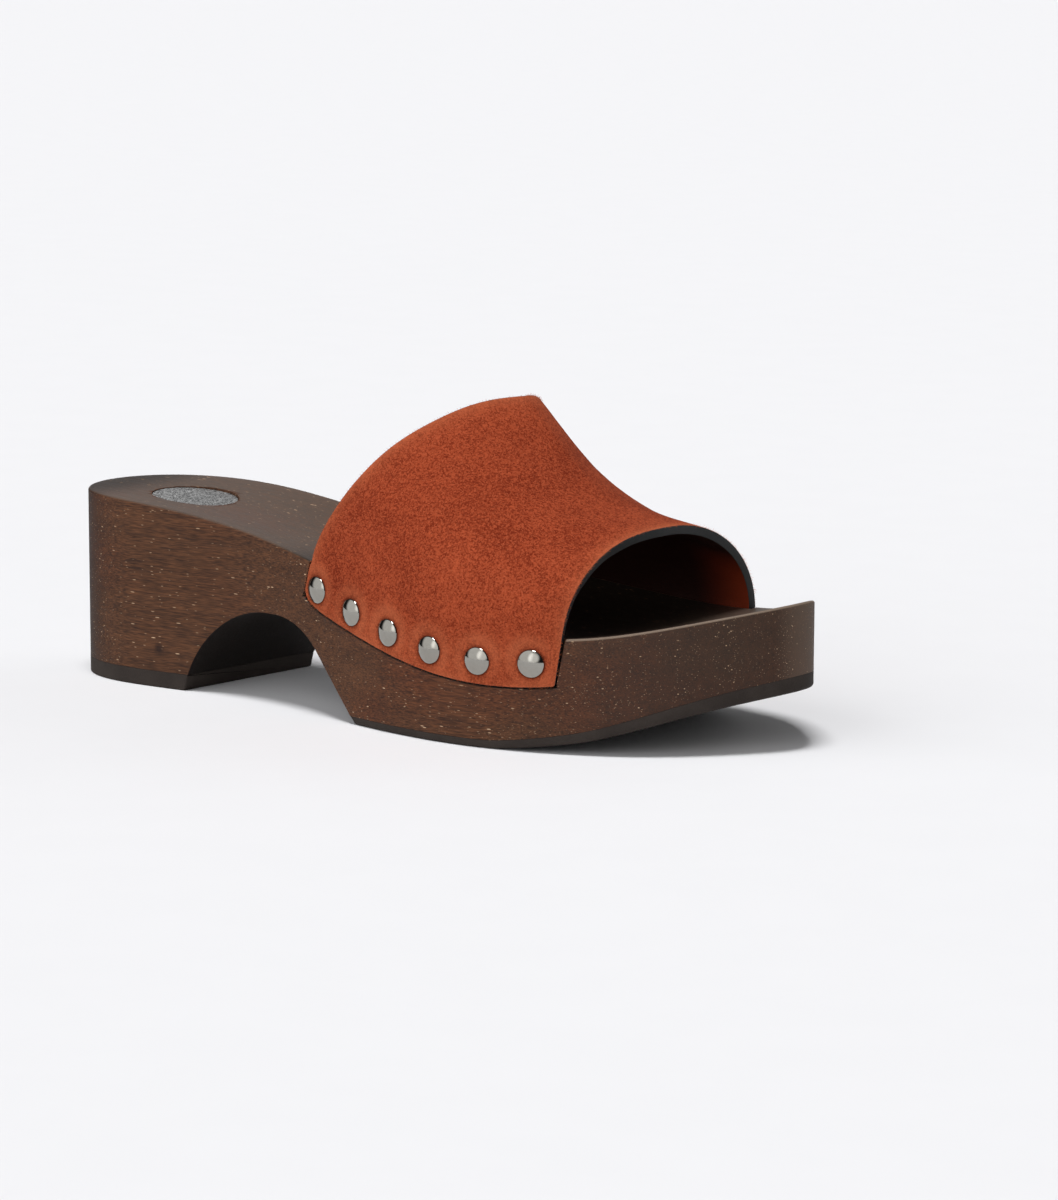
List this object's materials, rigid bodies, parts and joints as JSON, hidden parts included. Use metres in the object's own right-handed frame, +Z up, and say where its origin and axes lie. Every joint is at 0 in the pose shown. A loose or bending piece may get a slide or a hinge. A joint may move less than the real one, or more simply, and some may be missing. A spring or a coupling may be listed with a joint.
{
  "type": "sandal clog",
  "caption": "Right sandal clog: carved wooden sole with heel and tunnel on rubber treads, and a wide nailed suede band, open at toe and heel.",
  "frame": {"origin": "centre of the bounding box's base, on the floor under the middle of the shoe", "axes": "+X from heel to toe, +Y to the medial side of this right shoe, +Z up"},
  "size_m": [0.2498, 0.0942, 0.0945],
  "materials": {
    "wood": "dark open-grained wood under satin lacquer",
    "rubber": "matt charcoal rubber",
    "suede": "rust-orange suede, leather-lined, dark painted edges",
    "nail_metal": "polished nickel",
    "disc_metal": "speckled silver, blank"
  },
  "bodies": {
    "root": {"wood_sole": "wood", "heel_lift": "rubber", "forefoot_tread": "rubber", "upper": "suede", "heel_disc": "disc_metal", "nail_lateral_1": "nail_metal", "nail_lateral_2": "nail_metal", "nail_lateral_3": "nail_metal", "nail_lateral_4": "nail_metal", "nail_lateral_5": "nail_metal", "nail_lateral_6": "nail_metal", "nail_medial_1": "nail_metal", "nail_medial_2": "nail_metal", "nail_medial_3": "nail_metal", "nail_medial_4": "nail_metal", "nail_medial_5": "nail_metal", "nail_medial_6": "nail_metal"}
  },
  "joints": []
}
